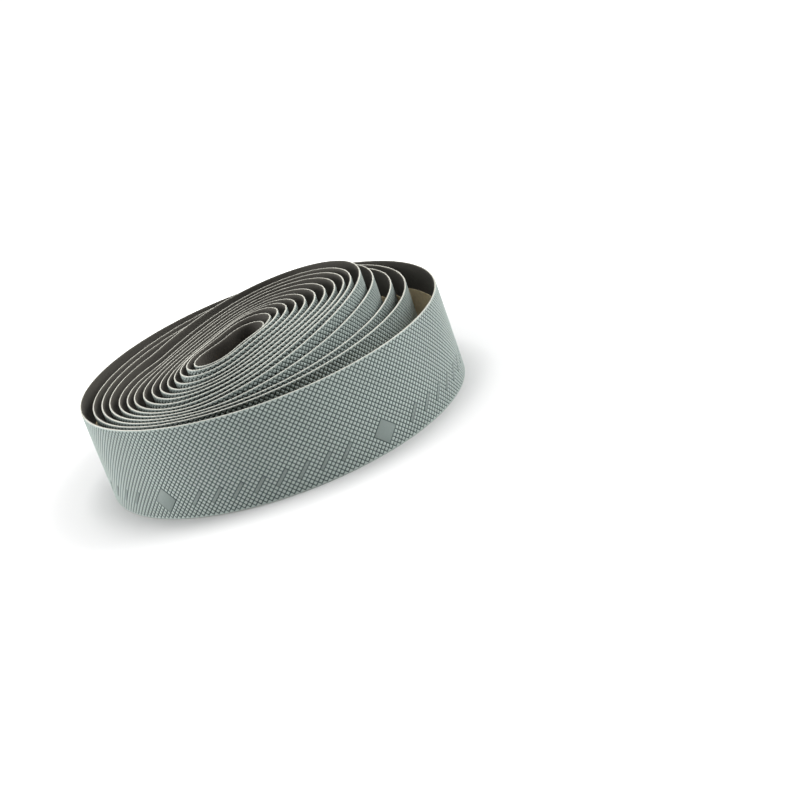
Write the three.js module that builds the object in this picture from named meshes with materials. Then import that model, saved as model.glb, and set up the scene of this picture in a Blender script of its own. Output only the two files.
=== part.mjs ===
// A roll of cushioned handlebar tape, standing on the edges of its turns.
// Millimetres, +Z up, z = 0 is the surface that the roll stands on.
// The tape is one long strip wound into a spiral, with its textured face outwards.
// A narrow paper liner is wound in with it and covers the glue on the back of the strip.

import * as THREE from 'three';

// The strip
const TAPE_WIDTH = 30;
const TAPE_THICKNESS = 1.4; // over the middle of the width
const EDGE_THICKNESS = 0.7; // at the two thinned edges
const EDGE_TAPER = 6; // how far the back slopes in from each edge

// The paper liner on the back of the strip
const LINER_WIDTH = 12;
const LINER_THICKNESS = 0.15;
const LINER_CLEARANCE = 0.3; // between the tape's back and the liner

// The winding, seen from above, turns inwards clockwise from the outer end on the far side
const OUTER_RADIUS = 63.1;
const HOLE_RADIUS = 8.6;
const TURN_SLACK = 2.144; // mean room from the back of one turn to the face of the next
const OUTER_END_ANGLE = 78; // degrees from +X
const RAISED_SIDE = 15; // degrees from +X
const SETTLE = 0.5; // a turn that would hang this far below the surface is pushed up flush with it
const LINER_SETBACK = 1; // steps by which the liner stops short of each end of the tape
const CHORD_ERROR = 0.08; // how far a straight step may stand off the true curve

const TURNS = (OUTER_RADIUS - HOLE_RADIUS) / (TAPE_THICKNESS + TURN_SLACK);

// How the roll changes from its outer end to its hole.
// wound: share of the turns, from the outer end
// reach: the turn's radius, as a share of the way from the hole's to the outer one
// midX, midY: the turn's middle, as shares of the outer radius
// oval, ovalAt: how much longer the turn is one way, as a share of its radius, and along which way
// lift, tilt: how high it has slid up, and how much more on its raised side, as shares of the width
const STATIONS = [
  { wound: 0, reach: 0.996, midX: -0.002, midY: -0.002, oval: 0.033, ovalAt: -59, lift: -0.018, tilt: -0.001 },
  { wound: 0.059, reach: 0.878, midX: -0.04, midY: 0.037, oval: 0.043, ovalAt: 62, lift: -0.015, tilt: -0.003 },
  { wound: 0.137, reach: 0.773, midX: -0.046, midY: 0.038, oval: 0.105, ovalAt: 56, lift: -0.15, tilt: 0.159 },
  { wound: 0.209, reach: 0.695, midX: -0.068, midY: 0.001, oval: 0.091, ovalAt: 54, lift: 0.042, tilt: 0.145 },
  { wound: 0.274, reach: 0.616, midX: -0.07, midY: -0.045, oval: 0.098, ovalAt: 47, lift: 0.118, tilt: 0.197 },
  { wound: 0.332, reach: 0.531, midX: -0.072, midY: -0.091, oval: 0.124, ovalAt: 36, lift: 0.123, tilt: 0.196 },
  { wound: 0.41, reach: 0.473, midX: -0.075, midY: -0.1, oval: 0.139, ovalAt: 35, lift: 0.132, tilt: 0.173 },
  { wound: 0.534, reach: 0.361, midX: -0.081, midY: -0.118, oval: 0.146, ovalAt: 29, lift: 0.147, tilt: 0.156 },
  { wound: 0.71, reach: 0.215, midX: -0.096, midY: -0.13, oval: 0.161, ovalAt: 21, lift: 0.155, tilt: 0.145 },
  { wound: 0.924, reach: 0.057, midX: -0.109, midY: -0.138, oval: 0.246, ovalAt: 19, lift: 0.19, tilt: 0.084 },
  { wound: 1, reach: 0, midX: -0.109, midY: -0.138, oval: 0.323, ovalAt: 19, lift: 0.153, tilt: 0.061 },
];

const SAGE = { color: 0x9fb0ab, roughness: 0.62, metalness: 0 };
const KRAFT = { color: 0xb59a78, roughness: 0.85, metalness: 0 };

const radians = THREE.MathUtils.degToRad;

// Slope of one quantity at a station, from its neighbours on both sides.
function slopeAt(index, quantity) {
  const rise = (a, b) => (quantity(b) - quantity(a)) / (STATIONS[b].wound - STATIONS[a].wound);
  if (index === 0) return rise(0, 1);
  if (index === STATIONS.length - 1) return rise(index - 1, index);
  const before = STATIONS[index].wound - STATIONS[index - 1].wound;
  const after = STATIONS[index + 1].wound - STATIONS[index].wound;
  return (rise(index - 1, index) * after + rise(index, index + 1) * before) / (before + after);
}

// A smooth value between the stations.
function between(turn, quantity) {
  const wound = turn / TURNS;
  let i = 0;
  while (i < STATIONS.length - 2 && wound > STATIONS[i + 1].wound) i += 1;
  const span = STATIONS[i + 1].wound - STATIONS[i].wound;
  const t = (wound - STATIONS[i].wound) / span;
  const start = (1 + 2 * t) * (1 - t) ** 2 * quantity(i) + t * (1 - t) ** 2 * span * slopeAt(i, quantity);
  const end = t * t * (3 - 2 * t) * quantity(i + 1) + t * t * (t - 1) * span * slopeAt(i + 1, quantity);
  return start + end;
}

// A turn that hangs below the surface is pushed up to it, with a soft change between the two.
function settled(height) {
  if (height >= SETTLE) return height;
  if (height <= -SETTLE) return 0;
  return (height + SETTLE) ** 2 / (4 * SETTLE);
}

// The radius of the winding, before it is pressed oval.
function radiusAt(turn) {
  return HOLE_RADIUS + (OUTER_RADIUS - HOLE_RADIUS) * between(turn, (i) => STATIONS[i].reach);
}

// The foot of the strip's textured face, at so many turns in from the outer end.
function pathPoint(turn) {
  const angle = radians(OUTER_END_ANGLE - 360 * turn);
  const along = between(turn, (i) => STATIONS[i].oval * Math.cos(radians(2 * STATIONS[i].ovalAt)));
  const across = between(turn, (i) => STATIONS[i].oval * Math.sin(radians(2 * STATIONS[i].ovalAt)));
  const oval = along * Math.cos(2 * angle) + across * Math.sin(2 * angle);
  const radius = radiusAt(turn) * (1 + oval);
  const lift = between(turn, (i) => STATIONS[i].lift);
  const tilt = between(turn, (i) => STATIONS[i].tilt);
  return new THREE.Vector3(
    OUTER_RADIUS * between(turn, (i) => STATIONS[i].midX) + radius * Math.cos(angle),
    OUTER_RADIUS * between(turn, (i) => STATIONS[i].midY) + radius * Math.sin(angle),
    settled(TAPE_WIDTH * (lift + tilt * Math.cos(angle - radians(RAISED_SIDE)))),
  );
}

// The level direction that points out of the textured face.
function outwards(turn) {
  const step = 0.002;
  const ahead = pathPoint(Math.min(turn + step, TURNS));
  const behind = pathPoint(Math.max(turn - step, 0));
  const run = ahead.sub(behind).setZ(0).normalize();
  return new THREE.Vector3(-run.y, run.x, 0);
}

// Places along the winding, closer together where it curves more.
function placesAlong() {
  const places = [];
  for (let here = 0; here < TURNS;) {
    places.push(here);
    const stepAngle = 2 * Math.acos(1 - CHORD_ERROR / radiusAt(here));
    here += stepAngle / (2 * Math.PI);
  }
  places.push(TURNS);
  return places;
}

// Sweeps a closed section along the winding and caps both ends.
// A section point holds how far it lies in from the textured face and how high above the foot.
function windStrip(section, places) {
  const count = section.length;
  const positions = [];
  for (const turn of places) {
    const foot = pathPoint(turn);
    const out = outwards(turn);
    for (const [inset, height] of section) {
      positions.push(foot.x - out.x * inset, foot.y - out.y * inset, foot.z + height);
    }
  }
  const faces = [];
  for (let step = 0; step < places.length - 1; step += 1) {
    for (let k = 0; k < count; k += 1) {
      const a = step * count + k;
      const b = step * count + ((k + 1) % count);
      faces.push(a, b, b + count, a, b + count, a + count);
    }
  }
  const last = (places.length - 1) * count;
  for (let k = 1; k < count - 1; k += 1) {
    faces.push(0, k + 1, k, last, last + k, last + k + 1);
  }
  const geometry = new THREE.BufferGeometry();
  geometry.setAttribute('position', new THREE.Float32BufferAttribute(positions, 3));
  geometry.setIndex(faces);
  geometry.computeVertexNormals();
  return geometry;
}

// The strip has a flat textured face and a back that thins towards both edges.
function makeTape(places) {
  const section = [
    [0, 0],
    [0, TAPE_WIDTH],
    [EDGE_THICKNESS, TAPE_WIDTH],
    [TAPE_THICKNESS, TAPE_WIDTH - EDGE_TAPER],
    [TAPE_THICKNESS, EDGE_TAPER],
    [EDGE_THICKNESS, 0],
  ];
  const mesh = new THREE.Mesh(windStrip(section, places), new THREE.MeshStandardMaterial(SAGE));
  mesh.name = 'tape';
  return mesh;
}

// The liner lies on the middle of the strip's back.
function makeLiner(places) {
  const near = TAPE_THICKNESS + LINER_CLEARANCE;
  const low = (TAPE_WIDTH - LINER_WIDTH) / 2;
  const section = [
    [near, low],
    [near, low + LINER_WIDTH],
    [near + LINER_THICKNESS, low + LINER_WIDTH],
    [near + LINER_THICKNESS, low],
  ];
  const strip = windStrip(section, places.slice(LINER_SETBACK, -LINER_SETBACK));
  const mesh = new THREE.Mesh(strip, new THREE.MeshStandardMaterial(KRAFT));
  mesh.name = 'liner';
  return mesh;
}

const places = placesAlong();
const roll = new THREE.Group();
roll.add(makeTape(places), makeLiner(places));

// The middle of the roll's outline stands over the origin.
const middle = new THREE.Box3().setFromObject(roll).getCenter(new THREE.Vector3());
roll.position.set(-middle.x, -middle.y, 0);

export default roll;
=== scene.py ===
# %% [markdown]
# # A roll of handlebar tape
#
# Handlebar tape is one long cushioned strip. Its outer face is embossed with small raised pads,
# its back is dark foam, and a narrow paper liner covers the glue along the middle of the back.
# The roll here is wound loosely, and its inner turns have slid up out of the outer ones.
#
# The texture could be a bump map on a smooth band, but its pads are large enough to catch the
# light and to break up the rim, so this lesson builds every pad as real geometry and leaves
# only the finest grain to the materials.

# %% Load the model that the scene dresses
import math

import bpy
import numpy as np
from mathutils import Matrix, Vector


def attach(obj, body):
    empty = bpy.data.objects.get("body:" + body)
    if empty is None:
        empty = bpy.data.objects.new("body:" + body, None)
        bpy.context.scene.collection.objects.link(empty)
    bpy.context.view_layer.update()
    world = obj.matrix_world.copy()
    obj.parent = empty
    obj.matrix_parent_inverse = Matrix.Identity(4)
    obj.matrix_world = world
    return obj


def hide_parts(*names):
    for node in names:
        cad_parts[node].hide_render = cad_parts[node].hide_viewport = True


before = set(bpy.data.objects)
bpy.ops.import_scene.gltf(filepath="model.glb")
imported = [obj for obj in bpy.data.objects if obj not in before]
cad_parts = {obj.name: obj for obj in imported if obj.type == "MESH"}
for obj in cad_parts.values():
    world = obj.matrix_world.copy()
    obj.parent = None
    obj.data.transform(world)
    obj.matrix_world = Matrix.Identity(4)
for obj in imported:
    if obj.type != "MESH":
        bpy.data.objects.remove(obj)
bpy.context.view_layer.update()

# %% [markdown]
# ## Sizes
#
# Everything is in metres. The strip's width, thickness and path are those of the solid model,
# so that each turn lies exactly where the solid one does. The pads are laid out as a lattice of
# squares standing on their corners, sized so that whole rows fill the width between the rims.

# %% Sizes of the strip, its pads and its liner
MM = 0.001
TAPE_WIDTH = 30 * MM
TAPE_THICKNESS = 1.4 * MM
EDGE_THICKNESS = 0.7 * MM
EDGE_TAPER = 6 * MM

EDGE_BAND = 0.5 * MM  # plain strip beside each rim
PAD_ROWS = 34  # half rows of pads between the two bands
HALF_PAD = (TAPE_WIDTH - 2 * EDGE_BAND) / PAD_ROWS
PAD_SHARE = 0.58  # how much of each square the top of its pad takes
PAD_TOP = 0.05 * MM  # over the solid's face
GROOVE = -0.2 * MM  # under the solid's face

LINER_WIDTH = 12 * MM
LINER_THICKNESS = 0.1 * MM
LINER_STANDOFF = 0.1 * MM  # between the foam and the paper

RUNS = 5  # lengths that the tape's mesh is divided into
print(f"pads {2 * HALF_PAD / MM:.2f} mm corner to corner")

# %% [markdown]
# ## The path of the winding
#
# A roll that was wound by machine would be a plain spiral. This one has been handled: some turns
# are loose, some touch, and the inner ones have slid up. It could be drawn as one long curve
# with hundreds of points, but a few stations are easier to set and to change. Each stands at a
# share of the winding and says how wide, how oval and how far up the roll is there, and a
# smooth curve runs through them. It is evaluated finely once, and everything that follows the
# tape looks up its place by the length of tape from the outer end.

# %% Stations of the winding, from the outer end to the hole
OUTER_RADIUS = 63.1 * MM
HOLE_RADIUS = 8.6 * MM
TURN_SLACK = 2.144 * MM
TURNS = (OUTER_RADIUS - HOLE_RADIUS) / (TAPE_THICKNESS + TURN_SLACK)
OUTER_END_ANGLE = math.radians(78)
RAISED_SIDE = math.radians(15)
SETTLE = 0.5 * MM  # a turn that would hang this far below the floor is pushed up flush with it

# Share of the turns, reach from the hole's radius to the outer one, middle x and y in outer radii,
# how oval the turn is and along which way (degrees), lift and tilt in widths of the tape
STATIONS = np.array([
    (0.000, 0.996, -0.002, -0.002, 0.033, -59, -0.018, -0.001),
    (0.059, 0.878, -0.040, 0.037, 0.043, 62, -0.015, -0.003),
    (0.137, 0.773, -0.046, 0.038, 0.105, 56, -0.150, 0.159),
    (0.209, 0.695, -0.068, 0.001, 0.091, 54, 0.042, 0.145),
    (0.274, 0.616, -0.070, -0.045, 0.098, 47, 0.118, 0.197),
    (0.332, 0.531, -0.072, -0.091, 0.124, 36, 0.123, 0.196),
    (0.410, 0.473, -0.075, -0.100, 0.139, 35, 0.132, 0.173),
    (0.534, 0.361, -0.081, -0.118, 0.146, 29, 0.147, 0.156),
    (0.710, 0.215, -0.096, -0.130, 0.161, 21, 0.155, 0.145),
    (0.924, 0.057, -0.109, -0.138, 0.246, 19, 0.190, 0.084),
    (1.000, 0.000, -0.109, -0.138, 0.323, 19, 0.153, 0.061),
])


def between(wound, values):
    """A smooth curve through one quantity of the stations."""
    at = STATIONS[:, 0]
    gaps = np.diff(at)
    rises = np.diff(values) / gaps
    inner = (rises[:-1] * gaps[1:] + rises[1:] * gaps[:-1]) / (gaps[:-1] + gaps[1:])
    slopes = np.concatenate([rises[:1], inner, rises[-1:]])
    i = np.clip(np.searchsorted(at, wound, side="right") - 1, 0, len(at) - 2)
    t = (wound - at[i]) / gaps[i]
    start = (1 + 2 * t) * (1 - t) ** 2 * values[i] + t * (1 - t) ** 2 * gaps[i] * slopes[i]
    end = t * t * (3 - 2 * t) * values[i + 1] + t * t * (t - 1) * gaps[i] * slopes[i + 1]
    return start + end


def winding(wound):
    """Foot of the textured face at shares of the winding, from the outer end."""
    reach, middle_x, middle_y, oval, oval_at, lift, tilt = STATIONS[:, 1:].T
    angle = OUTER_END_ANGLE - 2 * math.pi * TURNS * wound
    along = between(wound, oval * np.cos(np.radians(2 * oval_at)))
    across = between(wound, oval * np.sin(np.radians(2 * oval_at)))
    stretch = 1 + along * np.cos(2 * angle) + across * np.sin(2 * angle)
    radius = (HOLE_RADIUS + (OUTER_RADIUS - HOLE_RADIUS) * between(wound, reach)) * stretch
    height = TAPE_WIDTH * (between(wound, lift) + between(wound, tilt) * np.cos(angle - RAISED_SIDE))
    soft = (height + SETTLE) ** 2 / (4 * SETTLE)
    height = np.where(height >= SETTLE, height, np.where(height <= -SETTLE, 0.0, soft))
    x = OUTER_RADIUS * between(wound, middle_x) + radius * np.cos(angle)
    y = OUTER_RADIUS * between(wound, middle_y) + radius * np.sin(angle)
    return np.stack([x, y, height], axis=-1)


# %% Look up any place on the tape by its length from the outer end
PATH_POINTS = 16001  # places at which the winding is worked out
path = winding(np.linspace(0.0, 1.0, PATH_POINTS))
ROLL_SHIFT = -(path[:, :2].min(axis=0) + path[:, :2].max(axis=0)) / 2
path[:, :2] += ROLL_SHIFT  # the middle of the outline stands over the origin
steps = np.linalg.norm(np.diff(path[:, :2], axis=0), axis=1)
path_length = np.concatenate([[0.0], np.cumsum(steps)])
TAPE_LENGTH = path_length[-1]

heading = np.gradient(path[:, :2], axis=0)
heading /= np.linalg.norm(heading, axis=1)[:, None]
outward = np.stack([-heading[:, 1], heading[:, 0]], axis=-1)
print(f"tape {TAPE_LENGTH:.2f} m long in {TURNS:.2f} turns, shifted by {ROLL_SHIFT / MM} mm")


def place(length, height, out):
    """A point at a length along the tape, a height up its width and a distance off its face."""
    foot = [np.interp(length, path_length, path[:, axis]) for axis in range(3)]
    off = [np.interp(length, path_length, outward[:, axis]) for axis in range(2)]
    return np.stack([foot[0] + off[0] * out, foot[1] + off[1] * out, foot[2] + height], axis=-1)


# %% [markdown]
# ## Materials
#
# The face is a soft moulded plastic, matt, with painted shade that darkens it down in its grooves.
# The back is foam, the cut edge shows the paler core, and the liner is paper.
# All of them share one fine grain, so it is a node group that each material places with its own
# scale. A float attribute on the mesh says how high each point of the relief stands, and the face
# reads its colour from that, with painted shade in the lower parts.


# %% A node group for fine grain
def node_group(name, inputs, outputs):
    """An empty shader group with its sockets, ready for its nodes."""
    group = bpy.data.node_groups.new(name, "ShaderNodeTree")
    for label, kind, value in inputs:
        socket = group.interface.new_socket(label, in_out="INPUT", socket_type=kind)
        socket.default_value = value
    for label, kind in outputs:
        group.interface.new_socket(label, in_out="OUTPUT", socket_type=kind)
    return group, group.nodes.new("NodeGroupInput"), group.nodes.new("NodeGroupOutput")


def build_fine_grain():
    """Puts out a colour that varies by a small amount, and a height for a bump."""
    inputs = [
        ("Base", "NodeSocketColor", (0.5, 0.5, 0.5, 1.0)),
        ("Grain Scale", "NodeSocketFloat", 900.0),
        ("Cloud Scale", "NodeSocketFloat", 40.0),
        ("Grain Amount", "NodeSocketFloat", 0.1),
        ("Cloud Amount", "NodeSocketFloat", 0.1),
    ]
    outputs = [("Color", "NodeSocketColor"), ("Height", "NodeSocketFloat")]
    group, source, result = node_group("fine_grain", inputs, outputs)
    nodes, links = group.nodes, group.links
    where = nodes.new("ShaderNodeTexCoord")
    grain = nodes.new("ShaderNodeTexNoise")
    cloud = nodes.new("ShaderNodeTexNoise")
    grain.inputs["Detail"].default_value = 3.0
    cloud.inputs["Detail"].default_value = 4.0
    links.new(where.outputs["Object"], grain.inputs["Vector"])
    links.new(where.outputs["Object"], cloud.inputs["Vector"])
    links.new(source.outputs["Grain Scale"], grain.inputs["Scale"])
    links.new(source.outputs["Cloud Scale"], cloud.inputs["Scale"])

    def swing(noise, amount):
        centred = nodes.new("ShaderNodeMath")
        centred.operation = "SUBTRACT"
        centred.inputs[1].default_value = 0.5
        scaled = nodes.new("ShaderNodeMath")
        scaled.operation = "MULTIPLY"
        links.new(noise.outputs["Fac"], centred.inputs[0])
        links.new(centred.outputs[0], scaled.inputs[0])
        links.new(source.outputs[amount], scaled.inputs[1])
        return scaled.outputs[0]

    total = nodes.new("ShaderNodeMath")
    total.operation = "ADD"
    links.new(swing(grain, "Grain Amount"), total.inputs[0])
    links.new(swing(cloud, "Cloud Amount"), total.inputs[1])
    brightness = nodes.new("ShaderNodeMath")
    brightness.operation = "MULTIPLY_ADD"
    brightness.inputs[1].default_value = 2.0
    brightness.inputs[2].default_value = 1.0
    links.new(total.outputs[0], brightness.inputs[0])
    tint = nodes.new("ShaderNodeVectorMath")
    tint.operation = "SCALE"
    links.new(source.outputs["Base"], tint.inputs[0])
    links.new(brightness.outputs[0], tint.inputs["Scale"])
    links.new(tint.outputs["Vector"], result.inputs["Color"])
    links.new(grain.outputs["Fac"], result.inputs["Height"])
    return group


fine_grain = build_fine_grain()
print("node group", fine_grain.name)

# %% [markdown]
# ## Finishes
#
# Four finishes cover the roll: the embossed face, the pale cut edge, the dark foam and the kraft
# paper. They differ in colour, in how rough they are and in how strong their grain is, so one
# function makes them all from the shared group, and only the embossed face adds nodes of its own.


# %% A finish with the shared grain
def linear(red, green, blue):
    """A colour read off a screen, 0 to 255, as the linear values that a shader wants."""
    channel = np.array([red, green, blue]) / 255
    bright = ((channel + 0.055) / 1.055) ** 2.4
    return (*np.where(channel <= 0.04045, channel / 12.92, bright).tolist(), 1.0)


def new_material(name, roughness):
    """A material with its shader, and the shader itself."""
    material = bpy.data.materials.new(name)
    material.use_nodes = True
    shader = material.node_tree.nodes["Principled BSDF"]
    shader.inputs["Roughness"].default_value = roughness
    return material, shader


def grained(name, colour, roughness, grain_scale, grain, cloud, bump, bump_distance):
    """A matt finish of one colour with the shared grain."""
    material, shader = new_material(name, roughness)
    nodes, links = material.node_tree.nodes, material.node_tree.links
    group = nodes.new("ShaderNodeGroup")
    group.node_tree = fine_grain
    group.inputs["Base"].default_value = colour
    group.inputs["Grain Scale"].default_value = grain_scale
    group.inputs["Grain Amount"].default_value = grain
    group.inputs["Cloud Amount"].default_value = cloud
    relief = nodes.new("ShaderNodeBump")
    relief.inputs["Strength"].default_value = bump
    relief.inputs["Distance"].default_value = bump_distance
    links.new(group.outputs["Color"], shader.inputs["Base Color"])
    links.new(group.outputs["Height"], relief.inputs["Height"])
    links.new(relief.outputs["Normal"], shader.inputs["Normal"])
    return material, group


# %% The finishes of the tape and its liner
PAD_COLOUR = linear(165, 177, 172)
# Painted shade: the darker colour that the face takes down in its grooves
GROOVE_PAINTED_SHADE = linear(62, 75, 73)
FACE, EDGE, FOAM = 0, 1, 2  # places of the tape's finishes on its mesh


def embossed_face():
    """Sage moulded plastic with painted shade in the grooves, and a slight gloss on the pads."""
    material, group = grained(
        "embossed_face", PAD_COLOUR, roughness=0.5,
        grain_scale=2500.0, grain=0.10, cloud=0.10, bump=0.15, bump_distance=0.05 * MM,
    )
    shader = material.node_tree.nodes["Principled BSDF"]
    nodes, links = material.node_tree.nodes, material.node_tree.links
    height = nodes.new("ShaderNodeAttribute")
    height.attribute_name = "relief"
    # Painted shade: the colour goes from the groove shade to the pads' own colour as the relief rises
    groove_shade_ramp = nodes.new("ShaderNodeValToRGB")
    groove_shade_ramp.color_ramp.elements[0].color = GROOVE_PAINTED_SHADE
    groove_shade_ramp.color_ramp.elements[0].position = 0.3
    groove_shade_ramp.color_ramp.elements[1].color = PAD_COLOUR
    groove_shade_ramp.color_ramp.elements[1].position = 0.95
    links.new(height.outputs["Fac"], groove_shade_ramp.inputs["Fac"])
    links.new(groove_shade_ramp.outputs["Color"], group.inputs["Base"])
    rough = nodes.new("ShaderNodeMapRange")
    rough.inputs["To Min"].default_value = 0.75
    rough.inputs["To Max"].default_value = 0.48
    links.new(height.outputs["Fac"], rough.inputs["Value"])
    links.new(rough.outputs["Result"], shader.inputs["Roughness"])
    return material


face_finish = embossed_face()
edge_finish, _ = grained(
    "cut_edge", linear(190, 189, 179), roughness=0.7,
    grain_scale=3000.0, grain=0.12, cloud=0.08, bump=0.3, bump_distance=0.08 * MM,
)
foam_finish, _ = grained(
    "foam_back", linear(63, 60, 54), roughness=0.85,
    grain_scale=1800.0, grain=0.30, cloud=0.16, bump=0.5, bump_distance=0.1 * MM,
)
paper_finish, _ = grained(
    "kraft_paper", linear(226, 208, 170), roughness=0.8,
    grain_scale=700.0, grain=0.16, cloud=0.14, bump=0.3, bump_distance=0.06 * MM,
)
print("finishes", [m.name for m in (face_finish, edge_finish, foam_finish, paper_finish)])

# %% [markdown]
# ## Building the strip
#
# A helper gathers points and faces for one length of tape. Points are written in the tape's own
# flat coordinates, length, height and distance off the face, and only bent onto the winding at
# the end. That keeps the pattern simple to lay out, as if the tape lay flat on a table.


# %% A collector for points and faces in the tape's flat coordinates
MAP_ROWS = 3  # that the length is laid out in
MAP_MARGIN = 0.02  # at both sides of the map
MAP_GAP = 1 * MM  # between two rows of the map
MARK_BAND = 10 * MM  # height kept in the map for the marks of one row
MARK_BAND_START = 1 * MM  # height on the tape at which that band starts
CAP_REACH = 0.488  # from the middle of the map to the front of an end cap
CAP_DEPTH = 0.01  # of an end cap there, from its front to its back


class FlatStrip:
    """Points and faces of one length of tape, laid out flat."""

    def __init__(self, start, end, girth):
        self.start, self.end, self.girth = start, end, girth
        self.points, self.relief, self.faces, self.count = [], [], [], 0

    def add(self, length, height, out, relief):
        """Adds points of any array shape, and gives their numbers in the same shape."""
        length, height, out, relief = np.broadcast_arrays(length, height, out, relief)
        self.points.append(np.stack([length, height, out], axis=-1).reshape(-1, 3))
        self.relief.append(relief.reshape(-1).astype(float))
        numbers = np.arange(length.size).reshape(length.shape) + self.count
        self.count += length.size
        return numbers

    def face(self, corners, around, finish, band=None):
        """Adds faces from arrays of corners. around is each corner's way round the section."""
        corners = np.stack(np.broadcast_arrays(*corners), axis=-1)
        around = np.stack(np.broadcast_arrays(*around), axis=-1)
        around = np.broadcast_to(around, corners.shape)
        sides = corners.shape[-1]
        self.faces.append((corners.reshape(-1, sides), around.reshape(-1, sides), finish, band))

    def build(self, name, materials, smooth_angle):
        """Bends the strip onto the winding and makes the mesh, with its unwrapped map."""
        points = np.concatenate(self.points)
        mesh = bpy.data.meshes.new(name)
        sizes = np.concatenate([np.full(len(c), c.shape[1]) for c, *_ in self.faces])
        loops = np.concatenate([c.reshape(-1) for c, *_ in self.faces])
        finish = np.concatenate([np.full(len(c), f) for c, _, f, _ in self.faces])
        starts = np.concatenate([[0], np.cumsum(sizes)[:-1]])
        mesh.vertices.add(len(points))
        mesh.vertices.foreach_set("co", place(*points.T).astype(np.float32).reshape(-1))
        mesh.loops.add(len(loops))
        mesh.loops.foreach_set("vertex_index", loops.astype(np.int32))
        mesh.polygons.add(len(sizes))
        mesh.polygons.foreach_set("loop_start", starts.astype(np.int32))
        mesh.polygons.foreach_set("material_index", finish.astype(np.int32))
        height = mesh.attributes.new("relief", "FLOAT", "POINT")
        height.data.foreach_set("value", np.concatenate(self.relief).astype(np.float32))
        self.unwrap(mesh, points)
        for material in materials:
            mesh.materials.append(material)
        mesh.update(calc_edges=True)
        mesh.shade_smooth()
        mesh.set_sharp_from_angle(angle=math.radians(smooth_angle))
        piece = bpy.data.objects.new(name, mesh)
        bpy.context.collection.objects.link(piece)
        return piece

    def unwrap(self, mesh, points):
        """Lays the length out in three rows of the map, with the raised marks in rows below."""
        row_length = (self.end - self.start) / MAP_ROWS
        full = MAP_ROWS * (self.girth + MARK_BAND)
        parts = []
        for corners, around, _, band in self.faces:
            along = points[corners, 0]
            row = np.clip((along.mean(axis=1) - self.start) // row_length, 0, MAP_ROWS - 1)[:, None]
            share = (along - self.start - row * row_length) / row_length
            u = MAP_MARGIN + (1 - 2 * MAP_MARGIN) * share
            v = row * self.girth + around
            if band == "mark":
                up = points[corners, 1] - MARK_BAND_START
                v = MAP_ROWS * self.girth + row * MARK_BAND + up
            if band == "cap":
                side = np.where(along > (self.start + self.end) / 2, 1.0, -1.0)
                inwards = CAP_DEPTH * points[corners, 2] / TAPE_THICKNESS
                u = 0.5 + side * (CAP_REACH + inwards)
            parts.append(np.stack([u, v / full], axis=-1).reshape(-1, 2))
        flat_map = mesh.uv_layers.new(name="OFBake")
        flat_map.data.foreach_set("uv", np.concatenate(parts).reshape(-1).astype(np.float32))


print("the length is laid out in", MAP_ROWS, "rows of the map")


# %% [markdown]
# ## The lattice of pads
#
# Each pad is a small square on its corner with four sloping sides. The slopes of neighbours
# meet along the bottom of a groove, so they share their lowest points, and the pads sit in two
# alternating sets of rows. Beside each rim the pads are cut in half by a plain band, which is
# what gives the real tape its scalloped edge.


# %% The plain section round the edges and over the foam back
def section():
    """Corners of the section from the top rim over the back to the bottom rim."""
    top = [
        (TAPE_WIDTH - 0.06 * MM, -0.03 * MM),
        (TAPE_WIDTH, -0.1 * MM),
        (TAPE_WIDTH, -0.42 * MM),
        (TAPE_WIDTH - 0.06 * MM, -EDGE_THICKNESS + 0.06 * MM),
        (TAPE_WIDTH - 0.4 * MM, -EDGE_THICKNESS - 0.05 * MM),
    ]
    slope = [
        (TAPE_WIDTH - 0.6 * EDGE_TAPER, -TAPE_THICKNESS + 0.2 * MM),
        (TAPE_WIDTH - EDGE_TAPER, -TAPE_THICKNESS),
    ]
    bottom = [(TAPE_WIDTH - height, out) for height, out in reversed(top + slope)]
    return np.array(top + slope + bottom)


SECTION = section()
# The pale skin shows at both cut edges, and the rest is foam
SECTION_FINISH = [EDGE] * 2 + [FOAM] * (len(SECTION) - 5) + [EDGE] * 2
hops = np.linalg.norm(np.diff(SECTION, axis=0), axis=1)
SECTION_AROUND = TAPE_WIDTH + np.concatenate([[0.0], np.cumsum(hops)])
GIRTH = SECTION_AROUND[-1] + MAP_GAP
COLUMNS = int(TAPE_LENGTH / (2 * HALF_PAD))
HALF_STEP = TAPE_LENGTH / (2 * COLUMNS)
print(f"{COLUMNS} columns of {PAD_ROWS - 1} rows of pads, section {GIRTH / MM:.0f} mm round")


# %% [markdown]
# ## Smooth marks near the lower edge
#
# Slanted bars run there in groups, with a lozenge between one group and the next. They could be
# cut into the pads with a boolean, which is slow on so fine a mesh. Here their outlines follow
# the grooves instead, so each takes whole pads' places: a bar the place of five in a slanted
# row, and a lozenge that of five such rows.

# %% Places and shape of the marks
MARK_ROW = 7  # of pads, from the lower edge
GROUP_COLUMNS = 43  # from one lozenge to the next
BAR_COLUMNS = (8, 12, 16, 20, 24, 28, 32, 36)  # of the bars, after a lozenge
FIRST_LOZENGE = 42  # columns from the outer end
CUT_COLUMN = 3  # after a lozenge, where a run of the mesh may end without cutting a mark
MARK_REACH = 2.5  # half the length of a mark, in slanted rows
BAR_REACH = 0.5  # half the width of a bar
MARK_SPAN = 5  # columns to each side of a mark's own that it can touch
PRESSED_TOP = GROOVE + 0.02 * MM  # what is left of a pad under a mark
# Painted shade: a pad pressed under a mark is painted nearly as dark as the grooves
PRESSED_RELIEF = 0.15  # and how deep it counts for its colour
# Inset in slanted rows, distance off the face and relief value of a mark's foot, shoulder and top
MARK_RINGS = (
    (0.0, GROOVE, 0.0),
    (0.07, PAD_TOP - 0.05 * MM, 0.2),
    (0.16, PAD_TOP + 0.01 * MM, 0.6),
)


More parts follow.
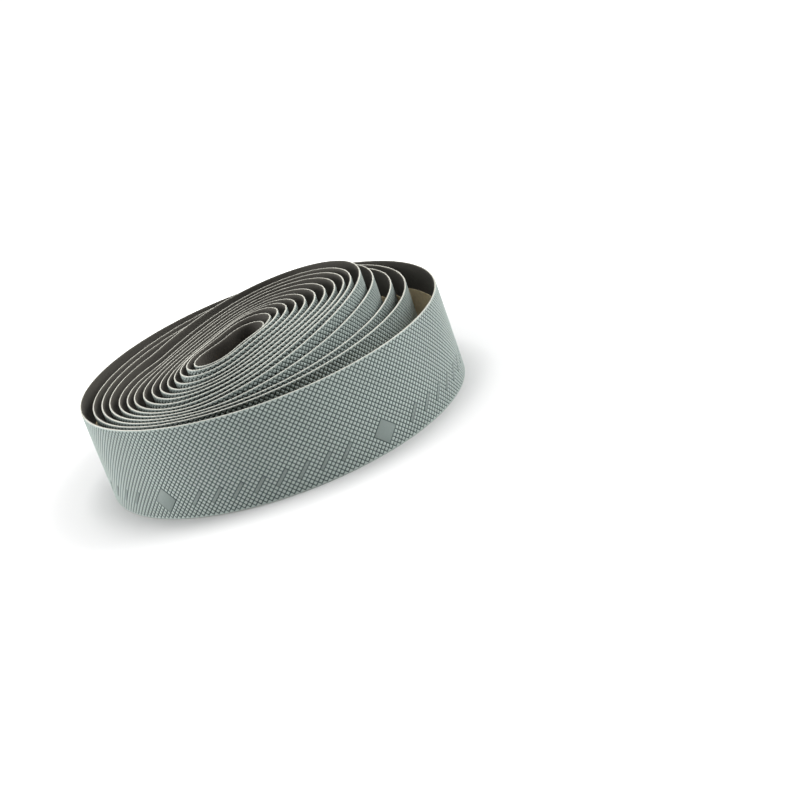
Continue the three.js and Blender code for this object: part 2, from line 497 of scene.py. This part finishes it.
def mark_at(column):
    """How many slanted rows wide the mark in a column is, from its middle, or 0 for none."""
    place_in_group = (column - FIRST_LOZENGE) % GROUP_COLUMNS
    bars = np.isin(place_in_group, BAR_COLUMNS) * BAR_REACH
    reach = np.where(place_in_group == 0, MARK_REACH, bars)
    return np.where((column > MARK_REACH) & (column < COLUMNS - MARK_REACH), reach, 0.0)


def under_mark(length, height):
    """Whether the pad at each place gives way to a mark."""
    up = np.round((height - EDGE_BAND) / HALF_PAD) - MARK_ROW
    covered = np.zeros(np.shape(length), dtype=bool)
    for near in range(-MARK_SPAN, MARK_SPAN + 1):
        column = np.round(length / (2 * HALF_STEP)) + near
        along = np.round((length - 2 * HALF_STEP * column) / HALF_STEP)
        rising, falling = (along + up) / 2, (along - up) / 2
        covered |= (np.abs(rising) < mark_at(column)) & (np.abs(falling) < MARK_REACH)
    return covered


def add_mark(strip, column, reach):
    """One mark as a low flat-topped solid that rises from the grooves round it."""
    rings = []
    for inset, out, relief in MARK_RINGS:
        rising = (reach - inset) * np.array([1, 1, -1, -1])
        falling = (MARK_REACH - inset) * np.array([-1, 1, 1, -1])
        length = (2 * column + rising + falling) * HALF_STEP
        height = EDGE_BAND + (MARK_ROW + rising - falling) * HALF_PAD
        rings.append(strip.add(length, height, out, relief))
    for low, high in zip(rings[:-1], rings[1:]):
        strip.face((low, np.roll(low, -1), np.roll(high, -1), high), (0, 0, 0, 0), FACE, "mark")
    strip.face([rings[-1][i] for i in range(4)], [0] * 4, FACE, "mark")
    strip.face([rings[0][-1 - i] for i in range(4)], [0] * 4, FACE, "mark")


marks = np.count_nonzero(mark_at(np.arange(COLUMNS)))
print(marks, "marks along the tape")

# %% [markdown]
# ## Pads and rims
#
# A pad could be one cube, copied and pushed into place thousands of times. The arrays below lay
# a whole row at once, which is far quicker, and let neighbours share the corners of a groove,
# which keeps the face closed.


# %% Rows of pads and the plain bands beside the rims
def add_pads(strip, left, top, right, bottom, length, height):
    """Pads between four groove corners each. A corner of None lies past a cut or a rim."""
    pressed = under_mark(length, height)
    out = np.where(pressed, PRESSED_TOP, PAD_TOP)
    relief = np.where(pressed, PRESSED_RELIEF, 1.0)
    reach = {"left": (-1, 0), "top": (0, 1), "right": (1, 0), "bottom": (0, -1)}
    ground = {"left": left, "top": top, "right": right, "bottom": bottom}
    missing = [side for side in reach if ground[side] is None]
    crown = {}
    for side, (along, up) in reach.items():
        if side in missing:
            continue
        corner = (length + along * PAD_SHARE * HALF_STEP, height + up * PAD_SHARE * HALF_PAD)
        crown[side] = strip.add(*corner, out, relief)
    order = [side for side in reach if side in crown]
    levels = [height + reach[side][1] * PAD_SHARE * HALF_PAD for side in order]
    strip.face([crown[side] for side in order], levels, FACE)
    ring = list(reach)
    for first, second in zip(ring, ring[1:] + ring[:1]):
        if first in crown and second in crown:
            low = [height + reach[side][1] * HALF_PAD for side in (first, second)]
            high = [height + reach[side][1] * PAD_SHARE * HALF_PAD for side in (second, first)]
            slope = (ground[first], ground[second], crown[second], crown[first])
            strip.face(slope, (*low, *high), FACE)
    return crown


def add_band(strip, rim, corners, crown, upper):
    """The plain band between one rim and the half pads beside it."""
    edge = TAPE_WIDTH if upper else 0.0
    line = TAPE_WIDTH - EDGE_BAND if upper else EDGE_BAND
    parts = [
        ((corners[:-1], line), (rim[:-1], edge), (crown["left"], line)),
        ((crown["left"], line), (rim[:-1], edge), (rim[1:], edge), (crown["right"], line)),
        ((crown["right"], line), (rim[1:], edge), (corners[1:], line)),
    ]
    for part in parts:
        part = part if upper else part[::-1]
        strip.face([numbers for numbers, _ in part], [around for _, around in part], FACE)


# %% [markdown]
# ## Winding the tape
#
# The tape is one piece, but its pads need so many faces that its mesh is made in runs, one after
# another. Each run is closed at both ends, and ends just after a lozenge, where no mark is cut.


# %% One run of the tape, with its pads, edges and back
RIM_RELIEF = 0.9  # the rims are almost as pale as the pads


def tape_length(name, first, last):
    """The tape from one column of pads to another, closed at both ends."""
    columns = last - first
    start, end = 2 * HALF_STEP * first, 2 * HALF_STEP * last
    strip = FlatStrip(start, end, GIRTH)
    even_at = start + 2 * HALF_STEP * np.arange(columns + 1)
    odd_at = even_at[:-1] + HALF_STEP
    row_height = EDGE_BAND + HALF_PAD * np.arange(PAD_ROWS + 1)
    groove = {}
    for row in range(PAD_ROWS + 1):
        groove[row] = strip.add(odd_at if row % 2 else even_at, row_height[row], GROOVE, 0.0)
    ends = {}
    for row in range(1, PAD_ROWS):
        below, here, above = groove[row - 1], groove[row], groove[row + 1]
        up = row_height[row]
        if row % 2:
            add_pads(strip, here[:-1], above[1:-1], here[1:], below[1:-1], even_at[1:-1], up)
            near = add_pads(strip, None, above[:1], here[:1], below[:1], even_at[:1], up)
            far = add_pads(strip, here[-1:], above[-1:], None, below[-1:], even_at[-1:], up)
            ends[row] = (near, far)
        else:
            add_pads(strip, here[:-1], above, here[1:], below, odd_at, up)
    lowest, highest = groove[0], groove[PAD_ROWS]
    foot = add_pads(strip, lowest[:-1], groove[1], lowest[1:], None, odd_at, row_height[0])
    under = groove[PAD_ROWS - 1]
    head = add_pads(strip, highest[:-1], None, highest[1:], under, odd_at, row_height[-1])

    lines = [strip.add(even_at, height, out, RIM_RELIEF) for height, out in SECTION]
    add_band(strip, lines[0], groove[PAD_ROWS], head, upper=True)
    add_band(strip, lines[-1], groove[0], foot, upper=False)
    for n, finish in enumerate(SECTION_FINISH):
        low, high = lines[n], lines[n + 1]
        round_low, round_high = SECTION_AROUND[n], SECTION_AROUND[n + 1]
        corners = (low[:-1], high[:-1], high[1:], low[1:])
        strip.face(corners, (round_low, round_high, round_high, round_low), finish)

    for side, column in ((0, 0), (1, -1)):
        loop = []
        for row in range(0, PAD_ROWS + 1, 2):
            loop.append(groove[row][column])
            if row + 1 in ends:
                crown = ends[row + 1][side]
                loop += [crown["bottom"][0], crown["top"][0]]
        loop += [line[column] for line in lines]
        loop = loop if side else loop[::-1]
        around = list(np.linspace(0, TAPE_WIDTH, len(loop)))
        strip.face([np.array([n]) for n in loop], around, EDGE, "cap")

    for column in range(first, last):
        if mark_at(column) > 0:
            add_mark(strip, column, mark_at(column))
    return strip.build(name, (face_finish, edge_finish, foam_finish), smooth_angle=60)


# %% Wind the tape
groups = (COLUMNS - FIRST_LOZENGE) // GROUP_COLUMNS
first_cut = FIRST_LOZENGE + CUT_COLUMN
cuts = [first_cut + GROUP_COLUMNS * (groups * run // RUNS) for run in range(1, RUNS)]
for run, (first, last) in enumerate(zip([0, *cuts], [*cuts, COLUMNS])):
    piece = tape_length(f"tape_run_{run + 1}", first, last)
    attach(piece, "root")
    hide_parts("tape")
    triangles = sum(len(face.vertices) - 2 for face in piece.data.polygons)
    print(piece.name, triangles, "triangles")

# %% [markdown]
# ## The paper liner
#
# The liner is a thin strip of kraft paper along the middle of the back. It could be a patch of
# another colour on the foam, but it is a piece of its own with its own edges, so the same helper
# lays it out as a second strip, a little further in. The solid model keeps a wider gap between
# the two, and here the paper lies 0.2 mm closer to the foam, as real paper does. Paper that has
# been wound never lies dead flat, so its distance from the foam and its edges waver slightly.


# %% The liner
LINER_SETBACK = 6 * MM  # by which the paper stops short of each end of the tape


def wind_liner():
    """A thin closed strip that follows the tape's back."""
    strip = FlatStrip(0.0, TAPE_LENGTH, 2 * LINER_WIDTH + 2 * MAP_GAP)
    at = np.linspace(LINER_SETBACK, TAPE_LENGTH - LINER_SETBACK, COLUMNS)
    waver = 0.03 * MM * np.sin(at / (9 * MM)) * np.sin(at / (31 * MM))  # in and out
    drift = 0.12 * MM * np.sin(at / (47 * MM))  # up and down
    near = -TAPE_THICKNESS - LINER_STANDOFF
    low = (TAPE_WIDTH - LINER_WIDTH) / 2
    middle = TAPE_WIDTH / 2
    far = near - LINER_THICKNESS
    high = low + LINER_WIDTH
    profile = [(low, near), (middle, near), (high, near), (high, far), (middle, far), (low, far)]
    lines = [strip.add(at, height + drift, out + waver, 1.0) for height, out in profile]
    around = [0.0, 0.5 * LINER_WIDTH, LINER_WIDTH, LINER_WIDTH, 1.5 * LINER_WIDTH, 2 * LINER_WIDTH]
    for n in range(len(lines)):
        low_line, high_line = lines[n], lines[(n + 1) % len(lines)]
        after = around[n + 1] if n + 1 < len(around) else around[n] + LINER_THICKNESS
        corners = (low_line[:-1], high_line[:-1], high_line[1:], low_line[1:])
        strip.face(corners, (around[n], after, after, around[n]), 0)
    for column in (0, -1):
        loop = [line[column] for line in lines]
        loop = loop if column else loop[::-1]
        strip.face([np.array([n]) for n in loop], around, 0, "cap")
    return strip.build("paper_liner", (paper_finish,), smooth_angle=40)


liner = wind_liner()
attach(liner, "root")
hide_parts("liner")
print("liner", len(liner.data.polygons), "faces")

# %% [markdown]
# ## Floor and light
#
# A product picture like this is taken in a white tent: broad light from both sides and above,
# a smaller one from low in front, and a white floor that runs out of the picture. The roll is
# then brightest towards both sides and calmer in front, which shows its roundness. The lamp in
# front is kept low, so that it lights the near wall and leaves the inner turns to the others.


# %% Floor
FLOOR_GREY = 0.62  # share of the light that the floor gives back
FLOOR_REACH = 3.0  # from its middle to each side
SHADOW_REACH = 0.065  # the roll's shadow is left alone within this distance of its middle
SHADOW_GLOW = 0.02  # what the camera sees added there, where plain white would be 1
WHITE_REACH = 0.13  # past this distance the floor looks plain white


def studio_floor():
    """A flat white floor that keeps the roll's shadow near it, and looks white to the camera further
    out.
    """
    mesh = bpy.data.meshes.new("floor")
    corners = [(x * FLOOR_REACH, y * FLOOR_REACH, 0) for x, y in ((-1, -1), (1, -1), (1, 1), (-1, 1))]
    mesh.from_pydata(corners, [], [(0, 1, 2, 3)])
    material, shader = new_material("studio_white", 0.9)
    shader.inputs["Base Color"].default_value = (FLOOR_GREY, FLOOR_GREY, FLOOR_GREY, 1.0)
    shader.inputs["Specular IOR Level"].default_value = 0.1
    shader.inputs["Emission Color"].default_value = (1.0, 1.0, 1.0, 1.0)
    nodes, links = material.node_tree.nodes, material.node_tree.links
    rays = nodes.new("ShaderNodeLightPath")
    where = nodes.new("ShaderNodeTexCoord")
    reach_out = nodes.new("ShaderNodeVectorMath")
    reach_out.operation = "LENGTH"
    whiten = nodes.new("ShaderNodeMapRange")
    whiten.interpolation_type = "SMOOTHSTEP"
    whiten.inputs["From Min"].default_value = SHADOW_REACH
    whiten.inputs["From Max"].default_value = WHITE_REACH
    whiten.inputs["To Min"].default_value = SHADOW_GLOW
    whiten.inputs["To Max"].default_value = 1.0
    lift = nodes.new("ShaderNodeMath")
    lift.operation = "MULTIPLY"
    links.new(where.outputs["Object"], reach_out.inputs[0])
    links.new(reach_out.outputs["Value"], whiten.inputs["Value"])
    links.new(rays.outputs["Is Camera Ray"], lift.inputs[0])
    links.new(whiten.outputs["Result"], lift.inputs[1])
    links.new(lift.outputs[0], shader.inputs["Emission Strength"])
    mesh.materials.append(material)
    floor = bpy.data.objects.new("floor", mesh)
    bpy.context.collection.objects.link(floor)
    return floor


floor = studio_floor()
print("floor", floor.name, "white from", WHITE_REACH, "m out")


# %% Lights
ROLL_MIDDLE = Vector((0.0, 0.0, TAPE_WIDTH / 2))


def soft_light(name, place_at, size, power):
    """A square soft light that is turned to the middle of the roll."""
    lamp = bpy.data.lights.new(name, "AREA")
    lamp.size = size
    lamp.energy = power
    light = bpy.data.objects.new(name, lamp)
    aim = ROLL_MIDDLE - Vector(place_at)
    facing = aim.to_track_quat("-Z", "Y").to_matrix().to_4x4()
    light.matrix_world = Matrix.Translation(place_at) @ facing
    bpy.context.collection.objects.link(light)
    print(name, power, "W")


soft_light("left_soft_box", (-0.8, 0.06, 0.22), size=0.5, power=6.7)
soft_light("right_soft_box", (0.8, -0.02, 0.45), size=0.5, power=7.3)
soft_light("top_soft_box", (0.0, 0.1, 0.9), size=0.5, power=8.8)
soft_light("front_soft_box", (-0.1, -1.1, 0.05), size=0.1, power=3.2)

# %% The white tent round it all
TENT_LIGHT = 0.03  # the tent's own light on the roll, where plain white would be 1
world = bpy.data.worlds.new("white_tent")
world.use_nodes = True
bpy.context.scene.world = world
tent = world.node_tree.nodes["Background"]
tent.inputs["Color"].default_value = (1.0, 1.0, 1.0, 1.0)
rays = world.node_tree.nodes.new("ShaderNodeLightPath")
seen = world.node_tree.nodes.new("ShaderNodeMapRange")
seen.inputs["To Min"].default_value = TENT_LIGHT
seen.inputs["To Max"].default_value = 1.0
world.node_tree.links.new(rays.outputs["Is Camera Ray"], seen.inputs["Value"])
world.node_tree.links.new(seen.outputs["Result"], tent.inputs["Strength"])
bpy.context.scene.view_settings.view_transform = "Standard"
print("tent", world.name, "gives", TENT_LIGHT)

# %% [markdown]
# ## Camera
#
# The camera was worked out from the two edges of the near wall, and looks at the roll from the
# photograph's angle. The roll stands flat, so it is the camera that leans. Its place follows
# from the pixel where the middle of the rim lies in the picture.

# %% Camera
PICTURE = 800  # pixels each way
FOCAL_PIXELS = 2000
ELEVATION = math.radians(20.02)
LEAN = math.radians(-19.52)
DISTANCE = 628.7 * MM
AIM = Vector((*ROLL_SHIFT, TAPE_WIDTH))  # middle of the outermost turn's rim
AIM_PIXEL = (256.0, 341.2)  # where that point lies in the photograph

forward = Vector((0, math.cos(ELEVATION), -math.sin(ELEVATION)))
level = Vector((1, 0, 0))
upright = level.cross(forward)
right = level * math.cos(LEAN) + upright * math.sin(LEAN)
up = upright * math.cos(LEAN) - level * math.sin(LEAN)
across = (AIM_PIXEL[0] - PICTURE / 2) * DISTANCE / FOCAL_PIXELS
down = (AIM_PIXEL[1] - PICTURE / 2) * DISTANCE / FOCAL_PIXELS
eye = AIM - forward * DISTANCE - right * across + up * down

camera_data = bpy.data.cameras.new("camera")
camera_data.sensor_width = 36.0
camera_data.lens = camera_data.sensor_width * FOCAL_PIXELS / PICTURE
camera_data.clip_start = 0.01
camera = bpy.data.objects.new("camera", camera_data)
turn = Matrix((right, up, -forward)).transposed().to_4x4()
camera.matrix_world = Matrix.Translation(eye) @ turn
bpy.context.collection.objects.link(camera)
bpy.context.scene.camera = camera
print("camera at", [round(value, 3) for value in eye])
